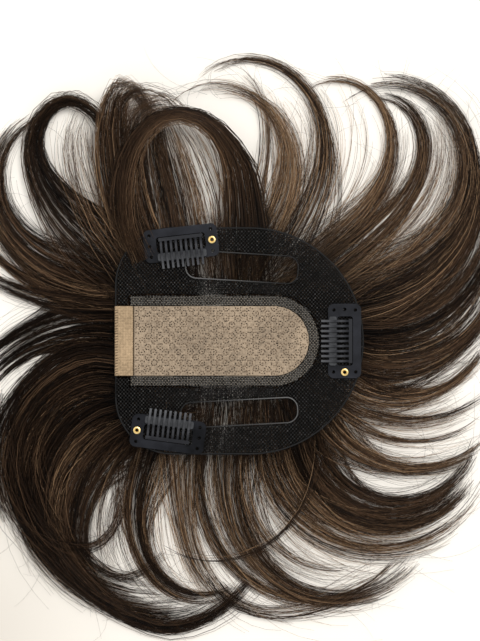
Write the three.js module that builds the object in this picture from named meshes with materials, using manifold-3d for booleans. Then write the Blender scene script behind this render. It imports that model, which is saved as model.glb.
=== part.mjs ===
// Clip-in hair topper, lying hair side down on a flat surface with its lining side up.
// Millimetres and degrees. +X runs from the front edge to the back, +Y to the wearer's left, +Z up.

import * as THREE from "three";
import { mergeVertices } from "three/addons/utils/BufferGeometryUtils.js";
import Module from "manifold-3d";

const wasm = await Module();
wasm.setup();

// Driving dimensions of the base
const GAP = 0.3; // clearance between neighbouring pieces
const CLOTH = 1.0; // thickness of net, silk and trim
const MAT_HEIGHT = 9.7; // hair pressed flat between the base and the surface
const FRONT_X = -53; // straight front edge of the base
const FRONT_CORNER = 25; // radius of its two front corners
const HALF_WIDTH = 49; // half the width of the base, and the radius of its back end
const BACK_CENTRE_X = 5.2; // centre of the round back end
const PANEL_HALF = 15; // half the width of the silk panel, and the radius of its back end
const PANEL_CENTRE_X = 15.5; // centre of the panel's round end
const HEM_DEPTH = 8; // front hem, measured back from the front edge
const BORDER_WIDTH = 4.3; // net strip round the silk panel
const BORDER_START_X = -46.4; // where that strip begins, behind the front edge
const ARC_STEPS = 10; // straight steps in a half circle of cloth

// Two slots through the net, beside the silk panel
const SLOTS = [
  { x: 1.7, y: 31.8, length: 48, width: 11.5, tilt: -3.5 },
  { x: 0.5, y: -30.8, length: 50, width: 10.5, tilt: 3 },
];
const SLOT_CORNER = 4.5;
const SLOT_CORNER_STEPS = 4;
const MAT_SLOT_MARGIN = 0.6; // the mat's slots are this much wider all round
const MAT_INSET = 3; // the mat stands this far inside the base's edge
const MAT_ROUNDING = 2.2; // its rounded upper and lower rims

// Snap clips: three alike, placed by their centres and turned about Z
const CLIPS = [
  { name: "clip_left", x: -24.5, y: 42.0, turn: 186.5 },
  { name: "clip_right", x: -30.1, y: -40.0, turn: -7.3 },
  { name: "clip_back", x: 45.8, y: 0, turn: 90 },
];
const CLIP_LENGTH = 32;
const CLIP_WIDTH = 14.2;
const CLIP_CORNER = 2.6;
const PLATE = 0.6; // steel thickness
const WIDE_BAR = 3.5; // bar behind the teeth
const FRONT_BAR = 4.0; // bar that the teeth close on
const WINDOW_HALF = 10.6; // half the length of the window in the plate
const WINDOW_CORNER = 1.2;
const TEETH = 9;
const TOOTH_PITCH = 2.15;
const TOOTH_WIDTH = 0.95;
const TOOTH_OVERHANG = 3.0; // how far the tips reach past the front bar
const TOOTH_CREST = 0.6; // how much higher than the grip they pass over the bar's rear edge
const TOOTH_RAMP = 1.9; // how far behind that edge they have nearly risen
const TOOTH_TIP = 0.4; // thickness of the tips
const ROOT_BAR = 1.5; // bar that joins the teeth at their roots
const ROOT_BAR_END = 0.9; // its reach past the middle of the outer teeth
const SEWING_HOLE = 0.75; // radius
const SEWING_HOLES = [
  { x: 13.3, y: -4.6 },
  { x: 13.6, y: 0 },
  { x: 13.3, y: 4.6 },
  { x: -13.3, y: -4.8 },
  { x: -13.3, y: 4.8 },
];
const EYELET_X = -13.4;
const EYELET_BORE = 0.75; // radii
const EYELET_BARREL = 1.1;
const EYELET_FLANGE = 1.7;
const FLANGE_HEIGHT = 0.5;
const FLANGE_ROUNDING = 0.15;
const GRIP_LENGTH = 21;
const GRIP_WIDTH = 3.2;
const GRIP_HEIGHT = 0.7;
const GRIP_CORNER = 0.8;
const HOLE_SIDES = 10;
const EYELET_SIDES = 14;

// Locks of hair. Each row starts at a point on the base's edge and gives the heading of the hair there,
// how far the lock turns on its way (anticlockwise is positive), how late that turn comes (1 is even),
// its length and greatest width, the height that it lies at, and the rise of its middle and of its tip.
const LOCK_COLUMNS = ["x", "y", "heading", "turn", "late", "length", "width", "lies", "arch", "tip"];
const LOCK_ROWS = [
  // front, wearer's left: loops that turn clockwise
  [-51, 34, 139, -190, 2.7, 110, 24, 1.5, 2, 0],
  [-52, 26, 172, -160, 1.6, 116, 16, 0.4, 0, 0],
  [-52, 22, 184, -88, 1.0, 86, 14, 0.8, 0, 0],
  [-52, 18, 185, -62, 1.0, 75, 11, 0.2, 0, 0],
  [-52, 14, 182, -36, 1.2, 64, 9, 1.2, 0, 0],
  // front edge
  [-53, 5, 172, 64, 1.1, 66, 15, 0.5, 0, 0],
  // front, wearer's right: long locks that sweep round into one tail
  [-53, -13, 165, 190, 0.73, 156, 17, 0.3, 0, 0],
  [-53, -21, 168, 200, 0.76, 164, 17, 1.2, 0, 0],
  [-52, -29, 188, 200, 0.86, 172, 15, 2.2, 0, 0],
  [-50, -36, 207, 132, 1.0, 110, 16, 0.7, 0, 0],
  [-45, -43, 226, 88, 1.6, 66, 13, 1.6, 0, 0],
  // wearer's right side
  [-38, -47, 251, 140, 1.8, 93, 14, 0.4, 0, 0],
  [-27, -48, 273, 62, 2.6, 74, 11, 1.1, 0, 0],
  [-16, -48, 259, 165, 1.15, 144, 4, 0.3, 0, 0],
  [-4, -48, 264, 147, 1.25, 130, 14, 0.9, 0, 0],
  [4, -48, 268, 120, 1.4, 88, 10, 1.7, 0, 0],
  [11, -47, 274, 138, 0.95, 126, 8, 0.5, 0, 0],
  [20, -46, 281, 130, 1.05, 110, 12, 1.3, 0, 0],
  [28, -43, 288, 118, 1.1, 99, 11, 0.4, 0, 0],
  [34, -40, 287, 116, 1.05, 91, 10, 1.0, 0, 0],
  [35, -39, 272, -126, 1.2, 107, 4, 3.4, 4, 0],
  [39, -35, 299, 98, 0.9, 79, 11, 1.9, 0, 0],
  [43, -30, 318, 84, 1.1, 72, 5, 0.6, 0, 0],
  [46, -26, 327, 75, 1.0, 69, 6, 1.2, 0, 0],
  // back
  [50, -18, 328, 100, 1.0, 70, 13, 0.3, 0, 0],
  [53, -7, 340, 104, 1.0, 80, 17, 1.1, 0, 0],
  [53, 5, 353, 98, 1.0, 88, 18, 0.5, 0, 0],
  [52, 14, 10, 114, 1.25, 108, 17, 1.6, 0, 0],
  [48, 23, 14, 188, 1.45, 146, 16, 2.4, 2, 0],
  // wearer's left side, from the back forward
  [41, 33, 35, 145, 2.1, 103, 13, 0.4, 0, 0],
  [35, 38, 42, 164, 1.85, 116, 11, 1.5, 2, 0],
  [24, 44, 60, 160, 1.65, 114, 15, 0.5, 0, 0],
  [17, 46, 62, 138, 1.5, 90, 10, 1.8, 0, 0],
  [12, 47, 62, 168, 1.5, 101, 9, 2.6, 3, 0],
  [7, 47, 80, 82, 3.5, 79, 8, 0.9, 0, 0],
  [1, 48, 88, 180, 1.3, 118, 9, 3.0, 9, 4],
  [-10, 48, 91, 58, 1.5, 54, 12, 0.3, 0, 0],
  [-20, 48, 97, 26, 1.0, 45, 13, 1.0, 0, 0],
  [-31, 47, 104, -14, 1.0, 44, 14, 0.2, 0, 0],
  [-43, 43, 117, -40, 0.9, 72, 13, 1.8, 0, 15],
  [-48, 38, 123, -34, 1.0, 66, 7, 0.6, 0, 3],
];
const LOCKS = LOCK_ROWS.map((row) => Object.fromEntries(LOCK_COLUMNS.map((column, i) => [column, row[i]])));
const LOCK_LEAST_STEPS = 4; // straight steps along a lock that doesn't turn
const TURN_PER_STEP = 30; // and a step more for each such turn
// A lock's section, in shares of its half width and of its thickness: a flat foot and a rounded back
const LOCK_SECTION = [
  { across: 0.55, up: 0 },
  { across: 1, up: 0.4 },
  { across: 0, up: 1 },
  { across: -1, up: 0.4 },
  { across: -0.55, up: 0 },
];
const LOCK_ROOT_DEPTH = 7; // how far a lock reaches back into the mat
const ROOT_BULK = 7.4; // thickness of a lock at the base's edge
const TIP_BULK = 1.6; // and at its tip
const SETTLED_BULK = 2.0; // and where it has settled on the surface
const SETTLING = 0.3; // share of the length over which it settles
const ROOT_CLEARANCE = 0.6; // a lock's root is this far off the surface
const TIP_WIDTH = 0.3; // share of the greatest width
const WIDTH_FALL = 1.5; // how late a lock narrows

// Heights worked out from those
const NET_BOTTOM = MAT_HEIGHT + GAP;
const NET_TOP = NET_BOTTOM + CLOTH;
const CLIP_BOTTOM = NET_TOP + GAP;

const rad = THREE.MathUtils.degToRad;

// A closed mesh as a solid that can be joined and cut
function toSolid(geometry) {
  const bare = geometry.index ? geometry.toNonIndexed() : geometry.clone();
  bare.deleteAttribute("normal");
  bare.deleteAttribute("uv");
  const merged = mergeVertices(bare, 1e-4);
  const vertProperties = new Float32Array(merged.attributes.position.array);
  const triVerts = new Uint32Array(merged.index.array);
  return new wasm.Manifold(new wasm.Mesh({ numProp: 3, vertProperties, triVerts }));
}

// A joined or cut solid as geometry again
function toGeometry(solid) {
  const { vertProperties, triVerts } = solid.getMesh();
  const geometry = new THREE.BufferGeometry();
  geometry.setAttribute("position", new THREE.BufferAttribute(vertProperties, 3));
  geometry.setIndex(new THREE.BufferAttribute(triVerts, 1));
  geometry.computeVertexNormals();
  return geometry;
}

// A flat outline given thickness upward from a height
function plate(shape, bottom, thickness, curveSegments = ARC_STEPS) {
  const options = { depth: thickness, bevelEnabled: false, curveSegments };
  return new THREE.ExtrudeGeometry(shape, options).translate(0, 0, bottom);
}

// A rectangle with rounded corners about the origin
function roundedRectangle(length, width, corner, Kind = THREE.Shape) {
  const x = length / 2 - corner;
  const y = width / 2 - corner;
  const path = new Kind();
  path.absarc(x, -y, corner, -Math.PI / 2, 0);
  path.absarc(x, y, corner, 0, Math.PI / 2);
  path.absarc(-x, y, corner, Math.PI / 2, Math.PI);
  path.absarc(-x, -y, corner, Math.PI, 1.5 * Math.PI);
  return path;
}

// One of the base's slots, wider by a margin all round
function slotPath(slot, margin) {
  const corner = SLOT_CORNER + margin;
  const flat = roundedRectangle(slot.length + 2 * margin, slot.width + 2 * margin, corner);
  const centre = new THREE.Vector2(0, 0);
  const place = new THREE.Vector2(slot.x, slot.y);
  return new THREE.Path(flat.getPoints(SLOT_CORNER_STEPS).map((p) => p.rotateAround(centre, rad(slot.tilt)).add(place)));
}

// The base's D outline, from its front left corner round the back, moved in by an inset
function baseEdge(path, inset) {
  const corner = FRONT_CORNER - inset;
  const cornerX = FRONT_X + FRONT_CORNER;
  const cornerY = HALF_WIDTH - FRONT_CORNER;
  path.absarc(cornerX, cornerY, corner, Math.PI, Math.PI / 2, true);
  path.absarc(BACK_CENTRE_X, 0, HALF_WIDTH - inset, Math.PI / 2, -Math.PI / 2, true);
  path.absarc(cornerX, -cornerY, corner, -Math.PI / 2, -Math.PI, true);
}

// The silk panel, the strip round it and the hem lie side by side in a window of the net
function netShape() {
  const hemSide = PANEL_HALF + GAP;
  const windowHalf = PANEL_HALF + GAP + BORDER_WIDTH + GAP;
  const stepX = BORDER_START_X - GAP;
  const shape = new THREE.Shape();
  shape.moveTo(FRONT_X, hemSide);
  baseEdge(shape, 0);
  shape.lineTo(FRONT_X, -hemSide);
  shape.lineTo(stepX, -hemSide);
  shape.lineTo(stepX, -windowHalf);
  shape.absarc(PANEL_CENTRE_X, 0, windowHalf, -Math.PI / 2, Math.PI / 2);
  shape.lineTo(stepX, windowHalf);
  shape.lineTo(stepX, hemSide);
  shape.holes = SLOTS.map((slot) => slotPath(slot, 0));
  return shape;
}

function borderShape() {
  const inner = PANEL_HALF + GAP;
  const outer = inner + BORDER_WIDTH;
  const shape = new THREE.Shape();
  shape.moveTo(BORDER_START_X, -outer);
  shape.absarc(PANEL_CENTRE_X, 0, outer, -Math.PI / 2, Math.PI / 2);
  shape.lineTo(BORDER_START_X, outer);
  shape.lineTo(BORDER_START_X, inner);
  shape.absarc(PANEL_CENTRE_X, 0, inner, Math.PI / 2, -Math.PI / 2, true);
  shape.lineTo(BORDER_START_X, -inner);
  return shape;
}

function panelShape() {
  const start = FRONT_X + HEM_DEPTH + GAP;
  const shape = new THREE.Shape();
  shape.moveTo(start, -PANEL_HALF);
  shape.absarc(PANEL_CENTRE_X, 0, PANEL_HALF, -Math.PI / 2, Math.PI / 2);
  shape.lineTo(start, PANEL_HALF);
  return shape;
}

// Cloth folded under at the front edge: its section has a round nose and runs across the base
function hemGeometry() {
  const nose = CLOTH / 2;
  const section = new THREE.Shape();
  section.moveTo(FRONT_X + HEM_DEPTH, CLOTH);
  section.absarc(FRONT_X + nose, nose, nose, Math.PI / 2, 1.5 * Math.PI);
  section.lineTo(FRONT_X + HEM_DEPTH, 0);
  const geometry = plate(section, -PANEL_HALF, 2 * PANEL_HALF, 6);
  return geometry.rotateX(Math.PI / 2).translate(0, 0, NET_BOTTOM);
}

// Stations along a lock: place, heading and the share of the length
function lockStations(lock) {
  const stations = [];
  const steps = LOCK_LEAST_STEPS + Math.ceil(Math.abs(lock.turn) / TURN_PER_STEP);
  const step = (lock.length + LOCK_ROOT_DEPTH) / steps;
  const start = rad(lock.heading);
  const place = new THREE.Vector2(Math.cos(start), Math.sin(start)).multiplyScalar(-LOCK_ROOT_DEPTH);
  place.add(new THREE.Vector2(lock.x, lock.y));
  const headingAt = (along) => {
    const share = Math.max(0, along / lock.length);
    return rad(lock.heading + lock.turn * share ** lock.late);
  };
  for (let i = 0; i <= steps; i++) {
    const along = i * step - LOCK_ROOT_DEPTH;
    stations.push({ place: place.clone(), heading: headingAt(along), share: Math.max(0, along / lock.length) });
    const middle = headingAt(along + step / 2);
    place.add(new THREE.Vector2(Math.cos(middle), Math.sin(middle)).multiplyScalar(step));
  }
  return stations;
}

// A lock: its section lofted along its curve, settling on the surface and narrowing to the tip
function lockGeometry(lock) {
  const { lerp, smoothstep } = THREE.MathUtils;
  const positions = [];
  for (const { place, heading, share } of lockStations(lock)) {
    const half = (lock.width / 2) * lerp(1, TIP_WIDTH, share ** WIDTH_FALL);
    const settled = smoothstep(share, 0, SETTLING);
    const bulk = lerp(ROOT_BULK, lerp(SETTLED_BULK, TIP_BULK, share), settled);
    const rise = lock.arch * Math.sin(Math.PI * share) + lock.tip * share ** 2;
    const bottom = lerp(ROOT_CLEARANCE, lock.lies, settled) + rise;
    for (const corner of LOCK_SECTION) {
      const across = half * corner.across;
      const up = bulk * corner.up;
      positions.push(place.x - across * Math.sin(heading), place.y + across * Math.cos(heading), bottom + up);
    }
  }
  return loft(positions, LOCK_SECTION.length);
}

// Rings of equal size joined into one closed body with flat ends
function loft(positions, sides) {
  const rings = positions.length / 3 / sides;
  const index = [];
  for (let r = 0; r < rings - 1; r++) {
    for (let k = 0; k < sides; k++) {
      const a = r * sides + k;
      const b = r * sides + ((k + 1) % sides);
      index.push(a, b, a + sides, b, b + sides, a + sides);
    }
  }
  const last = (rings - 1) * sides;
  for (let k = 1; k < sides - 1; k++) {
    index.push(0, k + 1, k, last, last + k, last + k + 1);
  }
  const geometry = new THREE.BufferGeometry();
  geometry.setAttribute("position", new THREE.Float32BufferAttribute(positions, 3));
  geometry.setIndex(index);
  return geometry;
}

// The mat under the base, open at the slots, with every lock joined to it
function hairGeometry() {
  const outline = new THREE.Shape();
  baseEdge(outline, MAT_INSET + MAT_ROUNDING);
  outline.holes = SLOTS.map((slot) => slotPath(slot, MAT_SLOT_MARGIN + MAT_ROUNDING));
  const options = {
    depth: MAT_HEIGHT - 2 * MAT_ROUNDING,
    bevelThickness: MAT_ROUNDING,
    bevelSize: MAT_ROUNDING,
    bevelSegments: 1,
    curveSegments: ARC_STEPS,
  };
  const mat = new THREE.ExtrudeGeometry(outline, options).translate(0, 0, MAT_ROUNDING);
  let solid = toSolid(mat);
  for (const lock of LOCKS) solid = solid.add(toSolid(lockGeometry(lock)));
  return toGeometry(solid);
}

function hole(x, y, radius) {
  return new THREE.Path().absarc(x, y, radius, 0, 2 * Math.PI, true);
}

// The pressed plate: a window for the teeth, sewing holes and the eyelet's hole
function clipFrameGeometry() {
  const shape = roundedRectangle(CLIP_LENGTH, CLIP_WIDTH, CLIP_CORNER);
  const windowWidth = CLIP_WIDTH - WIDE_BAR - FRONT_BAR;
  const windowY = (WIDE_BAR - FRONT_BAR) / 2;
  const opening = roundedRectangle(2 * WINDOW_HALF, windowWidth, WINDOW_CORNER, THREE.Path);
  const window = new THREE.Path(opening.getPoints(2).map((p) => p.add(new THREE.Vector2(0, windowY))));
  const round = (x, y, radius) => new THREE.Path(hole(x, y, radius).getPoints(HOLE_SIDES / 2));
  shape.holes = [window, round(EYELET_X, 0, EYELET_BARREL + GAP)];
  for (const { x, y } of SEWING_HOLES) shape.holes.push(round(x, y, SEWING_HOLE));
  return plate(shape, 0, PLATE, 4);
}

// A tooth seen from the side: flat at its root, lifted over the bar and its grip, its tip bent down again
function toothProfile() {
  const rootY = -CLIP_WIDTH / 2 + WIDE_BAR + GAP;
  const barY = CLIP_WIDTH / 2 - FRONT_BAR;
  const tipY = CLIP_WIDTH / 2 + TOOTH_OVERHANG;
  const over = PLATE + GAP + GRIP_HEIGHT + GAP; // underside where it passes over the grip
  const tipBottom = PLATE + GAP;
  const underside = [
    [rootY + ROOT_BAR, 0],
    [barY - TOOTH_RAMP, over],
    [barY, over + TOOTH_CREST],
    [CLIP_WIDTH / 2, over],
  ];
  const profile = new THREE.Shape();
  profile.moveTo(rootY, 0);
  for (const [y, z] of underside) profile.lineTo(y, z);
  profile.lineTo(tipY, tipBottom);
  profile.lineTo(tipY, tipBottom + TOOTH_TIP);
  for (const [y, z] of underside.reverse()) profile.lineTo(y, z + PLATE);
  profile.lineTo(rootY, PLATE);
  return profile;
}

// Profiles lie in the YZ plane, so they are extruded along Z and turned to run along X
function alongX(shape, fromX, length) {
  const geometry = new THREE.ExtrudeGeometry(shape, { depth: length, bevelEnabled: false });
  return geometry.rotateX(Math.PI / 2).rotateZ(Math.PI / 2).translate(fromX, 0, 0);
}

function clipCombGeometry() {
  const profile = toothProfile();
  const half = ((TEETH - 1) / 2) * TOOTH_PITCH;
  const rootY = -CLIP_WIDTH / 2 + WIDE_BAR + GAP;
  const bar = new THREE.BoxGeometry(2 * (half + ROOT_BAR_END), ROOT_BAR, PLATE);
  let solid = toSolid(bar.translate(0, rootY + ROOT_BAR / 2, PLATE / 2));
  for (let i = 0; i < TEETH; i++) {
    const x = i * TOOTH_PITCH - half - TOOTH_WIDTH / 2;
    solid = solid.add(toSolid(alongX(profile, x, TOOTH_WIDTH)));
  }
  return toGeometry(solid);
}

// A barrel through the plate with a flange above it
function eyeletGeometry() {
  const flangeBottom = PLATE + GAP;
  const top = flangeBottom + FLANGE_HEIGHT;
  const profile = [
    [EYELET_BORE, 0],
    [EYELET_BARREL, 0],
    [EYELET_BARREL, flangeBottom],
    [EYELET_FLANGE, flangeBottom],
    [EYELET_FLANGE - FLANGE_ROUNDING, top - FLANGE_ROUNDING],
    [EYELET_BARREL, top],
    [EYELET_BORE, top - 2 * FLANGE_ROUNDING],
    [EYELET_BORE, 0],
  ].map(([r, z]) => new THREE.Vector2(r, z));
  return new THREE.LatheGeometry(profile, EYELET_SIDES).rotateX(Math.PI / 2);
}

function gripGeometry() {
  const shape = roundedRectangle(GRIP_LENGTH, GRIP_WIDTH, GRIP_CORNER);
  const y = CLIP_WIDTH / 2 - FRONT_BAR / 2;
  return plate(shape, PLATE + GAP, GRIP_HEIGHT, 2).translate(0, y, 0);
}

// Finishes
const HAIR = { color: 0x33241d, roughness: 0.45, metalness: 0 };
const NET = { color: 0x1c1b1b, roughness: 0.8, metalness: 0 };
const SILK = { color: 0xb0967a, roughness: 0.7, metalness: 0 };
const HEM = { color: 0xc3a57d, roughness: 0.75, metalness: 0 };
const BORDER = { color: 0x5d5850, roughness: 0.8, metalness: 0 };
const STEEL = { color: 0x23262b, roughness: 0.35, metalness: 0.6 };
const BRASS = { color: 0xc9a14a, roughness: 0.3, metalness: 1 };
const SILICONE = { color: 0x8f9296, roughness: 0.4, metalness: 0 };

function piece(name, geometry, finish) {
  const mesh = new THREE.Mesh(geometry, new THREE.MeshStandardMaterial(finish));
  mesh.name = name;
  return mesh;
}

// The snap clips are one design, sewn on at three places
function clip({ name, x, y, turn }) {
  const group = new THREE.Group();
  group.add(
    piece(`${name}_frame`, clipFrameGeometry(), STEEL),
    piece(`${name}_comb`, clipCombGeometry(), STEEL),
    piece(`${name}_eyelet`, eyeletGeometry().translate(EYELET_X, 0, 0), BRASS),
    piece(`${name}_grip`, gripGeometry(), SILICONE),
  );
  group.position.set(x, y, CLIP_BOTTOM);
  group.rotation.z = rad(turn);
  return group;
}

const topper = new THREE.Group();
topper.add(
  piece("hair", hairGeometry(), HAIR),
  piece("net_base", plate(netShape(), NET_BOTTOM, CLOTH), NET),
  piece("silk_panel", plate(panelShape(), NET_BOTTOM, CLOTH), SILK),
  piece("front_hem", hemGeometry(), HEM),
  piece("panel_border", plate(borderShape(), NET_BOTTOM, CLOTH), BORDER),
  ...CLIPS.map(clip),
);

// The origin is the middle of the whole piece's footprint, on the surface that it lies on
topper.updateMatrixWorld(true);
const box = new THREE.Box3().setFromObject(topper, true);
const middle = box.getCenter(new THREE.Vector3());
topper.position.set(-middle.x, -middle.y, -box.min.z);

export default topper;
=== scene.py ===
# Looks of the clip-in hair topper: strands of hair, woven net, knotted silk, stitches and enamelled clips.
# Lengths are millimetres in the base's own frame, as in the part's source. The scene itself is in metres.

import math
from collections import namedtuple

import bpy
import numpy as np
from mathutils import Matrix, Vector


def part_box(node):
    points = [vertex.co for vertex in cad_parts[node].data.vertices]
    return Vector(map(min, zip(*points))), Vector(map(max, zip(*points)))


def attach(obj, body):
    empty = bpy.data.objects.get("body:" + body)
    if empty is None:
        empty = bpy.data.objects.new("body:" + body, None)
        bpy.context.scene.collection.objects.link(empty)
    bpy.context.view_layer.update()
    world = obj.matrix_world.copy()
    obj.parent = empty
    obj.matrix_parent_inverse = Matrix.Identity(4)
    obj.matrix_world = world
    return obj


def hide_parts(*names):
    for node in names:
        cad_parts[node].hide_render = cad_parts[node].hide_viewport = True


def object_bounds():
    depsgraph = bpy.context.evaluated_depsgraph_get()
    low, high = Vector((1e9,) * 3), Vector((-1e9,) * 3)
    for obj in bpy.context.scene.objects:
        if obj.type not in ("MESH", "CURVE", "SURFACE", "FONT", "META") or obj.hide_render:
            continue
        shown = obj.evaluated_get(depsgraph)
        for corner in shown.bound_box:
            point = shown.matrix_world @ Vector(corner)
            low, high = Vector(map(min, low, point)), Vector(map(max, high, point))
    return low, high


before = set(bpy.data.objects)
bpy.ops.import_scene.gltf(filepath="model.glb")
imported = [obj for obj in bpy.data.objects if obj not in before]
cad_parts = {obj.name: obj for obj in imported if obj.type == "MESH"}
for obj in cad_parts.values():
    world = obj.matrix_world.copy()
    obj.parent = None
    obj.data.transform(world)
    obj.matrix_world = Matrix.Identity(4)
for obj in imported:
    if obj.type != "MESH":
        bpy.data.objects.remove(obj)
cad_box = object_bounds()
rng = np.random.default_rng(20)
frizz = np.random.default_rng(21)  # for the stray hairs alone, so that they change nothing else
MM = 1000.0  # millimetres in a metre
TINY = 1e-12  # keeps a division from failing

# Shape of the base, as in the part's source
FRONT_X = -53.0
HALF_WIDTH = 49.0
FRONT_CORNER = 25.0
BACK_CENTRE_X = 5.2
PANEL_HALF = 15.0
PANEL_CENTRE_X = 15.5
HEM_DEPTH = 8.0
BORDER_WIDTH = 4.3
BORDER_START_X = -46.4
GAP = 0.3  # between two pieces of cloth
CLOTH_BOTTOM = 10.05
CLOTH_TOP = 11.0
SLOTS = (  # x, y, length, width, tilt
    (1.7, 31.8, 48.0, 11.5, -3.5),
    (0.5, -30.8, 50.0, 10.5, 3.0),
)
SLOT_CORNER = 4.5

# Where the base's own frame lies in the part's: the net's front edge is at FRONT_X and its middle line at y 0
net_low, net_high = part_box("net_base")
OFFSET = np.array([net_low.x * MM - FRONT_X, (net_low.y + net_high.y) / 2 * MM, 0.0])

# Locks of hair. The rows are those of the part's source, some of them widened, moved or turned to follow
# the photograph more closely. A lock leaves its root in a heading and takes a turn, in degrees, which comes
# the later the larger late is. It lies at a height, with arch the rise of its middle. Its tone goes from
# dark 0 to light 1, fullness scales its number of strands, and its tip keeps the share narrow of its width.
Lock = namedtuple("Lock", "x y heading turn late length width lies arch tone fullness narrow")
LOCKS = tuple(Lock(*row) for row in (
    # front, wearer's left
    (-52, 26, 172, -160, 1.6, 116, 16, 0.4, 0, 0.33, 0.72, 0.24),
    (-52, 22, 184, -88, 1.0, 86, 14, 0.8, 0, 0.34, 0.72, 0.30),
    (-52, 18, 185, -62, 1.0, 75, 11, 0.2, 0, 0.34, 0.72, 0.30),
    (-52, 15, 182, -36, 1.2, 64, 11, 1.2, 0, 0.24, 0.85, 0.35),
    # front edge
    (-53, 7, 174, 60, 1.1, 68, 19, 0.5, 0, 0.14, 1.15, 0.75),
    # front, wearer's right
    (-53, -13, 165, 190, 0.73, 152, 17, 0.3, 0, 0.22, 1.00, 0.24),
    (-53, -21, 168, 200, 0.76, 158, 17, 1.2, 0, 0.24, 0.95, 0.24),
    (-52, -29, 188, 200, 0.86, 162, 15, 2.2, 0, 0.26, 0.95, 0.24),
    (-50, -36, 207, 132, 1.0, 110, 16, 0.7, 0, 0.26, 0.95, 0.30),
    (-47, -41, 226, 73, 1.5, 70, 13, 1.6, 0, 0.30, 0.90, 0.40),
    # wearer's right
    (-38, -47, 251, 140, 1.8, 93, 14, 0.4, 0, 0.36, 0.80, 0.24),
    (-27, -48, 273, 62, 2.6, 74, 11, 1.1, 0, 0.54, 0.40, 0.60),
    (-16, -48, 259, 165, 1.15, 144, 4, 0.3, 0, 0.42, 0.80, 0.24),
    (-4, -48, 264, 147, 1.25, 130, 14, 0.9, 0, 0.36, 0.56, 0.16),
    (4, -48, 268, 120, 1.4, 88, 10, 1.7, 0, 0.50, 0.20, 0.30),
    (11, -47, 274, 138, 0.95, 126, 8, 0.5, 0, 0.50, 0.42, 0.16),
    (20, -46, 281, 130, 1.05, 110, 12, 1.3, 0, 0.50, 0.06, 0.20),
    (24, -45, 283, 142, 1.08, 104, 16, 0.4, 0, 0.27, 1.00, 0.28),
    (30, -42, 286, 142, 1.08, 98, 12, 1.0, 0, 0.30, 0.95, 0.28),
    (35, -39, 272, -126, 1.2, 107, 4, 3.4, 4, 0.26, 0.28, 0.20),
    (39, -35, 299, 98, 0.9, 79, 11, 1.9, 0, 0.44, 0.85, 0.24),
    (43, -30, 318, 84, 1.1, 72, 5, 0.6, 0, 0.46, 0.34, 0.24),
    (46, -26, 327, 75, 1.0, 69, 6, 1.2, 0, 0.46, 0.34, 0.24),
    # back
    (50, -18, 328, 100, 1.0, 70, 13, 0.3, 0, 0.50, 0.55, 0.24),
    (53, -7, 340, 104, 1.0, 80, 17, 1.1, 0, 0.36, 0.85, 0.50),
    (53, 5, 353, 98, 1.0, 88, 18, 0.5, 0, 0.29, 0.95, 0.50),
    (52, 14, 10, 114, 1.25, 108, 17, 1.6, 0, 0.30, 0.90, 0.40),
    (48, 23, 14, 208, 1.45, 161, 16, 1.6, 0, 0.42, 0.64, 0.16),
    # wearer's left, from the back forward
    (41, 33, 38, 140, 2.6, 99, 13, 0.4, 0, 0.46, 0.70, 0.30),
    (35, 38, 40, 178, 2.0, 113, 11, 1.2, 0, 0.50, 0.58, 0.12),
    (24, 44, 60, 160, 1.65, 118, 15, 0.5, 0, 0.53, 0.38, 0.12),
    (17, 46, 62, 138, 1.5, 90, 10, 1.8, 0, 0.70, 0.15, 0.30),
    (12, 47, 62, 168, 1.5, 105, 9, 1.6, 0, 0.56, 0.34, 0.14),
    (7, 47, 80, 82, 3.5, 79, 8, 0.9, 0, 0.62, 0.22, 0.40),
))

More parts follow.
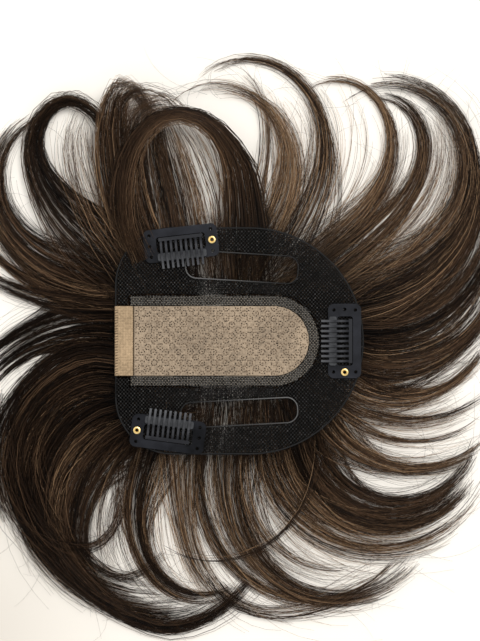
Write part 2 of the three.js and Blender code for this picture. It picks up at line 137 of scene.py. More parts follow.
# Locks that curl more freely follow points along their middle: x, y, height and width there. Before them
# stand the number of strands, their radius and tone, how far each strays, and whether they start at the net.
GUIDES = {
    "hair_front_left": (
        (230, 0.12, 0.38, 0.18, True, (  # large loop
            (-50, 36, 7.5, 24), (-64, 46, 6, 24), (-76, 57, 5, 18), (-85, 70, 4, 12), (-89, 83, 4, 8),
            (-87, 94, 4, 6), (-81, 102, 4.5, 4.5), (-74, 105, 5, 4), (-66, 102, 6, 3.5), (-59, 95, 7, 3),
            (-55, 85, 7, 2.5),
        )),
        (70, 0.09, 0.66, 0.7, True, (  # sparse strands inside the loop
            (-54, 44, 8, 14), (-63, 58, 6, 13), (-69, 74, 4, 13), (-71, 89, 3, 11), (-68, 99, 4, 7),
        )),
        (80, 0.09, 0.64, 0.6, True, (
            (-50, 47, 8, 10), (-55, 63, 6, 10), (-59, 80, 5, 9), (-60, 95, 5, 8),
        )),
    ),
    "hair_front_right": (
        (190, 0.13, 0.22, 0.16, True, (  # upper side of the mass
            (-52, -7, 7.5, 10), (-64, -6, 6, 10), (-76, -10, 4, 11), (-88, -19, 3.5, 11),
            (-97, -31, 3.5, 11), (-103, -46, 3.5, 11), (-104, -62, 3.5, 10), (-99, -78, 3.5, 8),
        )),
        (190, 0.13, 0.20, 0.10, False, (  # tail
            (-96, -55, 3, 13), (-90, -75, 3, 13), (-77, -95, 3, 11), (-61, -111, 2.5, 8),
            (-45, -121, 2.5, 6), (-30, -125, 2.5, 5), (-15, -121, 2.5, 4.5), (-3, -113, 2.5, 4),
            (4, -105, 2, 3),
        )),
        (26, 0.11, 0.26, 0.3, False, (  # small curls across the gap
            (-74, -84, 4, 4), (-63, -96, 3, 3), (-56, -101, 2.5, 3), (-48, -103, 2, 3), (-39, -99, 2, 3),
            (-31, -93, 2, 3),
        )),
        (34, 0.10, 0.32, 0.5, False, (
            (-79, -88, 4, 4), (-66, -90, 3, 4), (-57, -86, 2.5, 4), (-52, -77, 2, 4), (-49, -66, 2, 4),
        )),
        (36, 0.09, 0.60, 0.7, False, (
            (-45, -47, 6, 9), (-52, -60, 5, 9), (-57, -74, 4, 9), (-57, -90, 3, 8), (-52, -103, 3, 7),
        )),
        (60, 0.10, 0.34, 0.8, False, (  # loose strands over the mass
            (-100, -20, 5, 12), (-103, -45, 5, 12), (-97, -70, 4.5, 12), (-83, -88, 4, 10), (-66, -97, 3, 9),
        )),
        (40, 0.10, 0.40, 0.8, False, (
            (-78, -22, 6, 14), (-88, -40, 5, 14), (-90, -60, 4.5, 14), (-82, -80, 4, 12), (-68, -93, 3, 10),
        )),
    ),
    "hair_right": (
        (60, 0.11, 0.30, 0.2, False, (  # below the slot
            (-14, -19, 9.6, 14), (-14, -31, 8.5, 13), (-14, -43, 7.5, 11), (-14, -54, 6, 7),
        )),
        (60, 0.11, 0.30, 0.2, False, (
            (2, -19, 9.6, 14), (2, -31, 8.5, 13), (2, -43, 7.5, 11), (1, -54, 6, 7),
        )),
        (60, 0.11, 0.32, 0.2, False, (
            (17, -19, 9.6, 14), (18, -31, 8.5, 13), (19, -42, 7.5, 11), (21, -52, 6, 7),
        )),
        (34, 0.09, 0.50, 0.5, False, (  # lowest lock
            (-14, -100, 2.5, 4), (-6, -111, 2, 4), (5, -117, 2, 4), (18, -119, 2, 5), (35, -116, 2, 6),
            (52, -109, 2, 7), (67, -102, 2, 7), (76, -94, 2, 6),
        )),
    ),
    "hair_back": (
        (80, 0.07, 0.68, 0.5, True, (  # sparse strands inside the outermost lock
            (48, 26, 7.5, 14), (64, 38, 5, 16), (77, 52, 4, 15), (86, 68, 3, 13), (89, 84, 3, 11),
            (86, 98, 3, 9),
        )),
    ),
    "hair_left": (
        (290, 0.115, 0.44, 0.22, True, (  # arch over the others, its tips on the net
            (3, 46, 8, 17), (2, 60, 7.5, 15), (0, 74, 9, 12), (-6, 86, 12, 8), (-14, 94, 14, 6),
            (-23, 97, 15.5, 4.5), (-32, 96, 16, 4.5), (-40, 90, 16, 5), (-46, 80, 15.5, 6), (-49, 67, 15, 6),
            (-49, 54, 14.5, 5), (-46, 43, 13.5, 3), (-42, 34, 12.3, 2),
        )),
        (110, 0.115, 0.46, 0.22, True, (  # tuft
            (-46, 43, 9, 10), (-53, 57, 7, 9), (-57, 73, 7, 8), (-58, 88, 8, 7), (-56, 101, 10, 6),
            (-52, 110, 12, 5), (-47, 111, 13, 4), (-42, 106, 12, 4), (-39, 98, 10, 4),
        )),
        (110, 0.115, 0.41, 0.22, True, (
            (-42, 45, 9, 10), (-48, 60, 8, 9), (-51, 77, 8, 8), (-52, 93, 10, 8), (-50, 104, 12, 6),
            (-46, 108, 13, 5), (-41, 104, 12, 5), (-38, 97, 10, 5), (-37, 89, 8, 4),
        )),
        (60, 0.11, 0.54, 0.3, True, (
            (-38, 46, 9, 10), (-43, 60, 8, 9), (-45, 76, 8, 8), (-45, 90, 9, 7), (-43, 99, 11, 6),
            (-38, 102, 12, 5), (-33, 99, 11, 5), (-30, 92, 9, 5),
        )),
        (30, 0.09, 0.62, 0.7, False, (  # pale curls from the tuft
            (-54, 86, 9, 7), (-50, 101, 11, 7), (-44, 107, 12, 7), (-36, 107, 12, 7), (-29, 103, 11, 7),
            (-25, 96, 9, 6),
        )),
        (30, 0.09, 0.58, 0.7, False, (
            (-49, 84, 9, 8), (-45, 95, 11, 8), (-39, 102, 12, 8), (-31, 104, 11, 7), (-24, 98, 9, 6),
            (-20, 88, 7, 6),
        )),
        (190, 0.12, 0.40, 0.3, True, (  # the mass under the arch
            (-32, 47, 7, 15), (-35, 62, 5, 15), (-38, 78, 5, 14), (-39, 90, 6, 12), (-36, 99, 8, 9),
        )),
        (110, 0.11, 0.54, 0.3, True, (
            (-21, 48, 7, 14), (-24, 63, 5, 14), (-28, 78, 5, 13), (-32, 90, 6, 11), (-34, 97, 8, 8),
        )),
        (46, 0.10, 0.74, 0.4, True, (
            (-10, 48, 7, 12), (-12, 62, 5, 12), (-17, 77, 5, 12), (-23, 89, 7, 10), (-27, 95, 9, 8),
        )),
        (70, 0.11, 0.30, 0.2, False, (  # behind the slot
            (-12, 20, 9.6, 14), (-12, 32, 8.5, 13), (-12, 44, 7.5, 12), (-13, 56, 6, 9),
        )),
    ),
}

HAIR_PIECES = (  # name, first lock, one past its last, share of loose strands, and how far those reach
    ("hair_front_left", 0, 5, 0.6, 0.9),
    ("hair_front_right", 5, 10, 0.3, 0.9),
    ("hair_right", 10, 20, 1.0, 0.90),
    ("hair_back", 20, 28, 1.0, 0.9),
    ("hair_left", 28, 34, 1.1, 0.70),
)

# Kinds of strand in a lock: their share of its count, how far they gather into wisps, how wide they spread
# at the root, the least share of the lock's width that they keep, the stray of heading and turn, the shortest
# as a share of the longest, the radius, the shift and stray of tone, and how far they lift off the lock
StrandKind = namedtuple(
    "StrandKind",
    "share gathered spread least stray_heading stray_turn shortest radius tone_shift stray_tone lift",
)
STRAND_KINDS = {
    "bundle": StrandKind(0.17, 0.85, 1.0, 0.00, 0.5, 0.010, 0.80, 0.170, -0.02, 0.22, 0.0),
    "strand": StrandKind(0.36, 0.75, 1.1, 0.00, 0.9, 0.018, 0.55, 0.110, 0.00, 0.26, 0.0),
    "fan": StrandKind(0.50, 0.95, 2.3, 0.00, 1.2, 0.020, 0.30, 0.090, 0.06, 0.22, 0.15),
    "loose": StrandKind(0.20, 0.15, 1.5, 0.65, 2.4, 0.045, 0.45, 0.085, 0.12, 0.18, 0.3),
    "flyaway": StrandKind(0.06, 0.00, 2.0, 1.00, 6.0, 0.130, 0.45, 0.065, 0.14, 0.12, 1.0),
    "veil": StrandKind(1.00, 0.00, 1.0, 1.00, 2.0, 0.070, 0.45, 0.080, 0.28, 0.14, 0.2),
}
STRANDS_PER_MM = 15.0  # of a lock's width
WISP_WIDTH = 3.0
GUIDE_WISPS = 5  # in a lock that follows points
VEIL_CURVES = 16  # between each two neighbouring locks
VEIL_COUNT = 2  # strands on each of them
VEIL_WIDTH = 1.5
FRIZZ_PER_MM = 0.9  # single hairs that leave a lock, for each millimetre of its width
FRIZZ_RADIUS = 0.05
FRIZZ_LENGTH = (12, 42)
FRIZZ_TONE = (0.2, 0.62)
KNOT_HEIGHT = 9.75  # where a strand is knotted to the net
KNOT_INSET = (3.0, 38.0)  # how far that is inside the base's edge
KNOT_MARGIN = 2.5  # and how near to the edge it may come
BASE_MIDDLE = np.array([-5.0, 0.0])
ROOT_PILE = 7.4  # thickness of the hair where it leaves the base
LOCK_PILE = 2.0  # and of a lock that has settled on the table
ROOT_BOTTOM = 0.6
TABLE_GAP = 0.05  # least height of a strand over the table
STRAY_REACH = 6.0  # a strand that would stray further than this past the CAD's box is left out
TONE_RANGE = (0.02, 0.98)
STRAND_SIDES = 3

UV_STRIP = 0.006  # width of a tube's strip in the UV map, so narrow that one tone fills it
UV_ENDS = (0.005, 0.995)  # where the end faces of a tube lie along its strip
UV_ZIGZAG = 0.004  # which gives those faces an area
BATCH = 4000  # points measured at once, to spare memory


# Mesh making

def add_mesh(name, points, faces, material, uv=None, smooth=True):
    """A mesh object from points in the base's frame. faces is a list of index arrays, one face a row."""
    mesh = bpy.data.meshes.new(name)
    place = (np.asarray(points, float) + OFFSET) / MM
    mesh.vertices.add(len(place))
    mesh.vertices.foreach_set("co", place.astype(np.float32).ravel())
    corners = np.concatenate([f.ravel() for f in faces]).astype(np.int32)
    sizes = np.concatenate([np.full(len(f), f.shape[1]) for f in faces])
    mesh.loops.add(len(corners))
    mesh.loops.foreach_set("vertex_index", corners)
    mesh.polygons.add(len(sizes))
    mesh.polygons.foreach_set("loop_start", (np.cumsum(sizes) - sizes).astype(np.int32))
    mesh.polygons.foreach_set("use_smooth", np.full(len(sizes), smooth))
    if uv is not None:
        layer = mesh.uv_layers.new(name="OFBake")
        layer.data.foreach_set("uv", np.asarray(uv, np.float32).ravel())
    mesh.update(calc_edges=True)
    mesh.validate()
    mesh.materials.append(material)
    made = bpy.data.objects.new(name, mesh)
    bpy.context.scene.collection.objects.link(made)
    return made


def unit(vectors):
    return vectors / (np.linalg.norm(vectors, axis=-1, keepdims=True) + TINY)


def toward(angles):
    """Unit vectors, seen from above, that point at angles in radians."""
    return np.stack([np.cos(angles), np.sin(angles)], -1)


def tubes(paths, radii, sides, tones, flat=1.0):
    """Closed tubes along paths, an array of tubes by points by 3. radii is tubes by points, tones is for
    tubes or their points, and flat is height over width. Returns points, faces and a strip of UV for each."""
    count, steps, _ = paths.shape
    along = unit(np.gradient(paths, axis=1))
    side = unit(np.cross(along, np.array([0.0, 0.0, 1.0])))
    rise = np.cross(side, along)
    turn = np.pi / 2 + 2 * np.pi * np.arange(sides) / sides
    ring = np.cos(turn)[:, None] * side[:, :, None] + flat * np.sin(turn)[:, None] * rise[:, :, None]
    points = paths[:, :, None] + radii[:, :, None, None] * ring
    at = np.arange(count * steps * sides).reshape(count, steps, sides)
    here, there = at[:, :-1], at[:, 1:]
    quads = np.stack([here, np.roll(here, -1, 2), np.roll(there, -1, 2), there], -1).reshape(-1, 4)
    quads = quads[:, ::-1]
    ends = np.concatenate([at[:, 0], at[:, -1, ::-1]])
    if tones.ndim == 1:
        tones = np.repeat(tones[:, None], steps, 1)
    u = tones[:, :, None] + UV_STRIP * (np.arange(sides + 1) / sides - 0.5)
    v = np.broadcast_to(np.linspace(0.01, 0.99, steps)[None, :, None], u.shape)
    uv = np.stack([u, v], -1)
    quad_uv = np.stack([uv[:, 1:, :-1], uv[:, 1:, 1:], uv[:, :-1, 1:], uv[:, :-1, :-1]], 3)
    start = np.stack([u[:, 0, :-1], np.full((count, sides), UV_ENDS[0])], -1)
    stop = np.stack([u[:, -1, -2::-1], np.full((count, sides), UV_ENDS[1])], -1)
    start[:, ::2, 1] -= UV_ZIGZAG
    stop[:, ::2, 1] += UV_ZIGZAG
    every_uv = np.concatenate([part.reshape(-1, 2) for part in (quad_uv, start, stop)])
    return points.reshape(-1, 3), [quads, ends], every_uv


def join(parts):
    """Several results of tubes as one."""
    points, quads, ends, quad_uv, end_uv = [], [], [], [], []
    base = 0
    for part_points, (part_quads, part_ends), part_uv in parts:
        points.append(part_points)
        quads.append(part_quads + base)
        ends.append(part_ends + base)
        quad_uv.append(part_uv[:part_quads.size])
        end_uv.append(part_uv[part_quads.size:])
        base += len(part_points)
    faces = [np.concatenate(quads), np.concatenate(ends)]
    return np.concatenate(points), faces, np.concatenate(quad_uv + end_uv)


def arc(x, y, radius, first, last, steps):
    return np.array([x, y]) + radius * toward(np.radians(np.linspace(first, last, steps)))


def base_outline(inset=0.0):
    corner_x = FRONT_X + FRONT_CORNER
    corner_y = HALF_WIDTH - FRONT_CORNER
    return np.concatenate([
        arc(corner_x, -corner_y, FRONT_CORNER - inset, 180, 270, 24),
        arc(BACK_CENTRE_X, 0, HALF_WIDTH - inset, 270, 450, 64),
        arc(corner_x, corner_y, FRONT_CORNER - inset, 90, 180, 24),
    ])


def slot_outline(slot, margin=0.0):
    x, y, length, width, tilt = slot
    corner = SLOT_CORNER + margin
    reach_x = length / 2 - SLOT_CORNER
    reach_y = width / 2 - SLOT_CORNER
    quarters = ((1, -1, -90), (1, 1, 0), (-1, 1, 90), (-1, -1, 180))
    flat = np.concatenate([
        arc(right * reach_x, up * reach_y, corner, first, first + 90, 10) for right, up, first in quarters
    ])
    cosine = math.cos(math.radians(tilt))
    sine = math.sin(math.radians(tilt))
    return flat @ np.array([[cosine, sine], [-sine, cosine]]) + np.array([x, y])


def tongue(start_x, half):
    """The outline of the panel and of the strip round it: straight in front and round behind."""
    back = arc(PANEL_CENTRE_X, 0, half, -90, 90, 40)
    return np.concatenate([[[start_x, -half]], back, [[start_x, half]]])


def rectangle(first_x, last_x, half):
    return np.array([[first_x, -half], [last_x, -half], [last_x, half], [first_x, half]])


def distance(points, outline):
    """How far points lie outside a closed outline, negative inside it."""
    start_x, start_y = outline.T
    edge = np.roll(outline, -1, 0) - outline
    stop_y = np.roll(start_y, -1)
    edge_rise = np.where(edge[:, 1] == 0, TINY, edge[:, 1])
    out = np.empty(len(points))
    for first in range(0, len(points), BATCH):
        batch = points[first:first + BATCH]
        x, y = batch[:, :1], batch[:, 1:]
        away = batch[:, None] - outline[None]
        share = np.clip((away * edge).sum(-1) / ((edge * edge).sum(-1) + TINY), 0, 1)
        near = np.linalg.norm(away - share[..., None] * edge, axis=-1).min(1)
        crosses = (start_y > y) != (stop_y > y)
        at_x = start_x + (y - start_y) * edge[:, 0] / edge_rise
        inside = (crosses & (x < at_x)).sum(1) % 2 == 1
        out[first:first + BATCH] = np.where(inside, -near, near)
    return out


def smoothstep(value):
    value = np.clip(value, 0, 1)
    return value * value * (3 - 2 * value)


def cloth_slab(name, outline, top, material, edge=0.25):
    """A flat piece of cloth with a soft rim: rings of the outline, drawn in a little at top and bottom."""
    way = unit(outline - np.roll(outline, 1, 0)) + unit(np.roll(outline, -1, 0) - outline)
    normal = unit(np.stack([way[:, 1], -way[:, 0]], 1))
    levels = ((edge, CLOTH_BOTTOM), (0, CLOTH_BOTTOM + edge), (0, top - edge), (edge, top))
    rings = []
    for inset, height in levels:
        ring = outline - inset * normal
        rings.append(np.column_stack([ring, np.full(len(ring), height)]))
    at = np.arange(len(levels) * len(outline)).reshape(len(levels), len(outline))
    sides = []
    for lower, upper in zip(at, at[1:]):
        sides.append(np.stack([lower, np.roll(lower, -1), np.roll(upper, -1), upper], 1))
    faces = [np.concatenate(sides), at[-1][None], at[0][None, ::-1]]
    return add_mesh(name, np.concatenate(rings), faces, material, smooth=False)


# Materials

MIX_FIRST, MIX_SECOND, MIX_RESULT = 6, 7, 2  # the colour sockets of a mix node


def new_material(name):
    """A material, its node tree and its main shader."""
    material = bpy.data.materials.new(name)
    material.use_nodes = True
    return material, material.node_tree, material.node_tree.nodes["Principled BSDF"]


def feed(tree, node, inputs):
    """Gives a node's inputs a value each, or a link from another node's output."""
    for name, value in inputs.items():
        if isinstance(value, bpy.types.NodeSocket):
            tree.links.new(value, node.inputs[name])
        else:
            node.inputs[name].default_value = value


def add_node(tree, kind, inputs, **settings):
    """A new shader node with its settings made and its inputs fed."""
    node = tree.nodes.new("ShaderNode" + kind)
    for name, value in settings.items():
        setattr(node, name, value)
    feed(tree, node, inputs)
    return node


def object_place(tree):
    return add_node(tree, "TexCoord", {}).outputs["Object"]


def noise(tree, place, scale, detail, **more):
    inputs = {"Vector": place, "Scale": scale, "Detail": detail, **more}
    return add_node(tree, "TexNoise", inputs).outputs["Fac"]


def colour_ramp(tree, value, colours, interpolation="LINEAR"):
    """The colour for a value from 0 to 1, with colours given at some places between."""
    ramp = add_node(tree, "ValToRGB", {0: value})
    ramp.color_ramp.interpolation = interpolation
    while len(ramp.color_ramp.elements) < len(colours):
        ramp.color_ramp.elements.new(0.5)
    for element, (position, colour) in zip(ramp.color_ramp.elements, colours):
        element.position = position
        element.color = (*colour, 1)
    return ramp.outputs["Color"]


def map_range(tree, value, from_range, to_range=(0.0, 1.0), **settings):
    """A value carried from one range over to another."""
    names = ("Value", "From Min", "From Max", "To Min", "To Max")
    inputs = dict(zip(names, (value, *from_range, *to_range)))
    return add_node(tree, "MapRange", inputs, **settings).outputs["Result"]


def bump(tree, height, strength, depth):
    inputs = {"Height": height, "Strength": strength, "Distance": depth}
    return add_node(tree, "Bump", inputs).outputs["Normal"]


def strand_material(name, colours, roughness, specular, root=0.0, root_painted_shade=1.0):
    """Colour by a strand's own tone, its place across the UV map, and painted shade up to a share of its
    length.
    """
    material, tree, shader = new_material(name)
    uv = add_node(tree, "UVMap", {}, uv_map="OFBake").outputs["UV"]
    split = add_node(tree, "SeparateXYZ", {"Vector": uv})
    colour = colour_ramp(tree, split.outputs["X"], colours, "EASE")
    shade = map_range(tree, split.outputs["Y"], (root, root + 0.2), (root_painted_shade, 1.0))
    inputs = {"Factor": 1.0, MIX_FIRST: colour, MIX_SECOND: shade}
    shaded = add_node(tree, "Mix", inputs, data_type="RGBA", blend_type="MULTIPLY").outputs[MIX_RESULT]
    feed(tree, shader, {"Base Color": shaded, "Roughness": roughness, "Specular IOR Level": specular})
    return material


def cloth_material(name, dark, light, thread, relief):
    """Plain woven cloth: two fine sets of threads, thread apart, with slow changes of shade."""
    material, tree, shader = new_material(name)
    place = object_place(tree)
    waves = {
        "Vector": place,
        "Scale": 2 * math.pi * MM / thread / 20,
        "Distortion": 1.2,
        "Detail": 1.0,
        "Detail Scale": 2.0,
    }
    one = add_node(tree, "TexWave", waves, bands_direction="X").outputs["Fac"]
    other = add_node(tree, "TexWave", waves, bands_direction="Y").outputs["Fac"]
    threads = add_node(tree, "Math", {0: one, 1: other}, operation="MULTIPLY").outputs[0]
    cloud = noise(tree, place, 60.0, 4.0)
    grain = noise(tree, place, 900.0, 2.0)
    shades = add_node(tree, "Math", {0: cloud, 1: grain}, operation="ADD").outputs[0]
    tone = add_node(tree, "Math", {0: threads, 1: 0.5, 2: shades}, operation="MULTIPLY_ADD").outputs[0]
    feed(tree, shader, {
        "Base Color": colour_ramp(tree, map_range(tree, tone, (0.0, 1.9)), ((0.35, dark), (0.85, light))),
        "Normal": bump(tree, threads, relief, 0.0002),
        "Roughness": 0.8,
        "Specular IOR Level": 0.3,
    })
    return material


def metal_material(name, dark, light, metallic, roughness, grain, specular=0.5):
    """Enamelled or bare metal with a slight mottle, and scuffs that vary its roughness over a range."""
    material, tree, shader = new_material(name)
    cloud = noise(tree, object_place(tree), grain, 6.0, Roughness=0.65)
    feed(tree, shader, {
        "Base Color": colour_ramp(tree, cloud, ((0.35, dark), (0.7, light))),
        "Roughness": map_range(tree, cloud, (0.3, 0.7), roughness),
        "Normal": bump(tree, cloud, 0.12, 0.0001),
        "Metallic": metallic,
        "Specular IOR Level": specular,
    })
    return material


# Colours along a tooth from root to tip: its dark enamel, then painted highlights where it bends up and at
# its tip
TEETH_ENAMEL_AND_PAINTED_HIGHLIGHTS = (
    (0.15, (0.009, 0.0095, 0.012)),
    (0.35, (0.035, 0.036, 0.040)),
    (0.55, (0.013, 0.0135, 0.016)),
    (0.95, (0.068, 0.069, 0.073)),
)


def teeth_material(name, along, root, tip):
    """Enamel that is as dark as the frame at a comb's root, with painted highlights along its teeth."""
    material, tree, shader = new_material(name)
    place = object_place(tree)
    split = add_node(tree, "SeparateXYZ", {"Vector": place})
    cloud = noise(tree, place, 500.0, 4.0)
    share = map_range(tree, split.outputs[along], (root, tip), (-0.1, 0.9), clamp=False)
    tone = add_node(tree, "Math", {0: cloud, 1: 0.2, 2: share}, operation="MULTIPLY_ADD").outputs[0]
    feed(tree, shader, {
        "Base Color": colour_ramp(tree, tone, TEETH_ENAMEL_AND_PAINTED_HIGHLIGHTS),
        "Roughness": map_range(tree, cloud, (0.0, 1.0), (0.25, 0.45)),
        "Specular IOR Level": 0.15,
    })
    return material


HAIR_COLOURS = (
    (0.0, (0.0040, 0.0023, 0.0014)),
    (0.35, (0.026, 0.0140, 0.0078)),
    (0.65, (0.102, 0.057, 0.031)),
    (1.0, (0.44, 0.28, 0.155)),
)
NET_COLOURS = ((0.0, (0.003, 0.003, 0.003)), (0.5, (0.013, 0.0125, 0.012)), (1.0, (0.15, 0.145, 0.14)))
EDGE_COLOURS = ((0.0, (0.006, 0.006, 0.006)), (1.0, (0.12, 0.118, 0.115)))
KNOT_COLOURS = ((0.0, (0.03, 0.02, 0.013)), (1.0, (0.16, 0.11, 0.07)))
# Hair carries painted shade near its root: darkest under the net, fading out over the first stretch of a lock
HAIR = strand_material("hair_brown", HAIR_COLOURS, roughness=0.35, specular=0.07, root=0.1, root_painted_shade=0.3)
NET = strand_material("net_black", NET_COLOURS, roughness=0.5, specular=0.02)
EDGE = strand_material("edge_thread", EDGE_COLOURS, roughness=0.6, specular=0.15)
KNOT = strand_material("silk_knots", KNOT_COLOURS, roughness=0.7, specular=0.2)
SILK = cloth_material("silk_tan", (0.12, 0.09, 0.062), (0.40, 0.304, 0.208), thread=0.7, relief=0.5)
HEM = cloth_material("hem_tan", (0.145, 0.10, 0.055), (0.44, 0.31, 0.184), thread=0.7, relief=0.5)
# The silk under the strip, in darker, greyer colours than the panel's: painted shade under the strip's net
UNDERLAY_PAINTED_SHADE = cloth_material(
    "border_underlay", (0.06, 0.053, 0.043), (0.20, 0.172, 0.135), thread=0.9, relief=0.4,
)
ENAMEL = metal_material(
    "clip_enamel", (0.0012, 0.0014, 0.002), (0.018, 0.019, 0.024),
    metallic=0.0, roughness=(0.30, 0.45), grain=45.0, specular=0.08,
)
BRASS = metal_material(
    "eyelet_brass", (0.78, 0.55, 0.20), (0.92, 0.72, 0.34),
    metallic=1.0, roughness=(0.30, 0.45), grain=700.0,
)
SILICONE = metal_material(
    "clip_silicone", (0.016, 0.017, 0.019), (0.05, 0.052, 0.056),
    metallic=0.0, roughness=(0.4, 0.55), grain=400.0, specular=0.2,
)


# Hair

Wisps = namedtuple("Wisps", "middle heading turn length tone level")


def wisps_of(lock):
    """The wisps that a lock parts into: place across it, and how each strays from the lock's own curve."""
    count = max(2, round(lock.width / WISP_WIDTH))
    return Wisps(
        middle=(np.arange(count) + 0.5) / count * 2 - 1 + rng.normal(0, 0.2 / count, count),
        heading=rng.normal(0, 0.8, count),
        turn=rng.normal(1, 0.022, count),
        length=rng.uniform(0.86, 1.02, count),
        tone=rng.normal(0, 0.11, count),
        level=rng.uniform(0.15, 0.9, count),
    )


def rooted(flat, height, start_way):
    """Adds the run of each strand under the base, from its knot in the net to the base's edge."""
    count = len(flat)
    inset = rng.uniform(*KNOT_INSET, count)
    first = flat[:, 0] - inset[:, None] * toward(start_way)
    astray = distance(first, base_outline(KNOT_MARGIN)) > 0
    first[astray] = 0.75 * flat[astray, 0] + 0.25 * BASE_MIDDLE
    second = 0.5 * (first + flat[:, 0])
    second_height = 0.45 * KNOT_HEIGHT + 0.55 * height[:, 0]
    return np.concatenate([
        np.column_stack([first, np.full(count, KNOT_HEIGHT)])[:, None],
        np.column_stack([second, second_height])[:, None],
        np.concatenate([flat, height[..., None]], -1),
    ], 1)


def in_reach(flat):
    """Which runs of points, seen from above, keep near the CAD's box."""
    limit = np.array(cad_box[1])[:2] * MM + STRAY_REACH
    return (np.abs(flat + OFFSET[:2]) < limit).all((1, 2))


def strands(lock, wisps, lock_count, kind_name, longest=1.0):
    """Tubes for one kind of strand in a lock: knotted to the net, in wisps, settling on the table."""
    kind = STRAND_KINDS[kind_name]
    count = int(lock_count * kind.share)
    narrow = max(lock.narrow, kind.least)

    # The more a lock turns and the longer it is, the more steps it takes, and the closer where it turns more
    steps = int(np.clip(round(4 + abs(lock.turn) / 18 + lock.length / 45), 6, 15))
    even = np.linspace(0, 1, steps)
    closer = 0.5 * even + 0.5 * even ** (1 / lock.late)
    across = rng.uniform(-kind.spread, kind.spread, count)
    wisp = np.abs(across[:, None] / max(1.0, kind.spread / 1.1) - wisps.middle[None]).argmin(1)
    gather = kind.gathered * rng.uniform(0.8, 1.1, count)
    turns = lock.turn * (wisps.turn[wisp] + rng.normal(0, kind.stray_turn, count))
    starts = lock.heading + wisps.heading[wisp] + rng.normal(0, kind.stray_heading, count)
    lengths = kind.shortest + (1.03 - kind.shortest) * rng.uniform(0, 1, count) ** 0.6
    reach = longest * wisps.length[wisp] * lengths
    along = reach[:, None] * closer[None]

    # The lock's own curve, and each strand's place across it
    way = np.radians(starts[:, None] + turns[:, None] * along ** lock.late)
    between = (along[:, 1:] + along[:, :-1]) / 2
    mid_way = np.radians(starts[:, None] + turns[:, None] * between ** lock.late)
    step = lock.length * np.diff(along, axis=1)
    walk = np.cumsum(toward(mid_way) * step[..., None], 1)
    centre = np.array([lock.x, lock.y]) + np.concatenate([np.zeros((count, 1, 2)), walk], 1)
    normal = np.stack([-np.sin(way), np.cos(way)], -1)
    half = lock.width / 2 * (1.1 - (1.1 - narrow) * smoothstep(0.1 + 0.9 * along ** 0.75))
    drawn = smoothstep((along - 0.05) / 0.55)
    aside = half * (across[:, None] + ((wisps.middle[wisp] - across) * gather)[:, None] * drawn)
    phase = rng.uniform(0.8, 2.4, count)[:, None] * along + rng.uniform(0, 1, count)[:, None]
    aside = aside + (0.25 + 0.8 * kind.lift) * np.sin(2 * np.pi * phase) * smoothstep(along * 3)
    flat = centre + aside[..., None] * normal

    # Heights, from the pile under the base down to the table
    settled = smoothstep(along / 0.3)
    pile = ROOT_PILE + (LOCK_PILE - 0.4 * along - ROOT_PILE) * settled
    bottom = ROOT_BOTTOM + (lock.lies - ROOT_BOTTOM) * settled + lock.arch * np.sin(np.pi * along)
    level = np.clip(wisps.level[wisp] + rng.normal(0, 0.3, count), 0.03, 1.0)
    level = level * (1 - 0.35 * np.clip(across, -1, 1) ** 2)
    height = bottom + pile * level[:, None]
    height = height + kind.lift * rng.uniform(0, 3.0, count)[:, None] * np.sin(np.pi * along)
    height = np.maximum(height, kind.radius + TABLE_GAP)

    path = rooted(flat, height, way[:, 0])
    taper = np.concatenate([[1, 1], 1 - 0.5 * even ** 3])
    radii = (kind.radius * rng.uniform(0.8, 1.15, count))[:, None] * taper[None]
    tones = lock.tone + kind.tone_shift + wisps.tone[wisp] + rng.normal(0, kind.stray_tone, count)
    tones = np.clip(tones, *TONE_RANGE)
    kept = in_reach(flat)
    return tubes(path[kept], radii[kept], STRAND_SIDES, tones[kept])


def stray_hairs(lock, count):
    """Tubes for single short hairs that leave a lock's curve and go their own way."""
    curve_steps = 40
    share = np.linspace(0, 1, curve_steps)
    way = np.radians(lock.heading + lock.turn * share ** lock.late)
    walk = np.cumsum(toward(way) * lock.length / curve_steps, 0)
    leaves_at = frizz.integers(8, 38, count)
    along = np.linspace(0, 1, 8)
    start_way = way[leaves_at] + frizz.normal(0, 0.5, count)
    ways = start_way[:, None] + frizz.normal(0, 1.3, count)[:, None] * along
    step = frizz.uniform(*FRIZZ_LENGTH, count)[:, None] / len(along)
    run = np.cumsum(toward(ways) * step[..., None], 1)
    aside = frizz.uniform(-0.4, 0.4, (count, 2)) * lock.width
    flat = np.array([lock.x, lock.y]) + walk[leaves_at][:, None] + aside[:, None] + run
    height = lock.lies + frizz.uniform(0.6, 3.0, count)[:, None]
    height = height + frizz.uniform(0, 4.0, count)[:, None] * np.sin(np.pi * along)
    kept = in_reach(flat)
    path = np.concatenate([flat, height[..., None]], -1)[kept]
    radii = np.broadcast_to(FRIZZ_RADIUS * (1 - 0.5 * along ** 2), path.shape[:2])
    tones = frizz.uniform(*FRIZZ_TONE, count)
    return tubes(path, radii, STRAND_SIDES, tones[kept])


def between_locks(one, other, share):
    """A thin lock whose curve lies between those of two neighbours."""
    heading = Lock._fields.index("heading")
    change = np.array(other) - np.array(one)
    change[heading] = (change[heading] + 180) % 360 - 180
    return Lock(*(np.array(one) + change * share))._replace(width=VEIL_WIDTH)


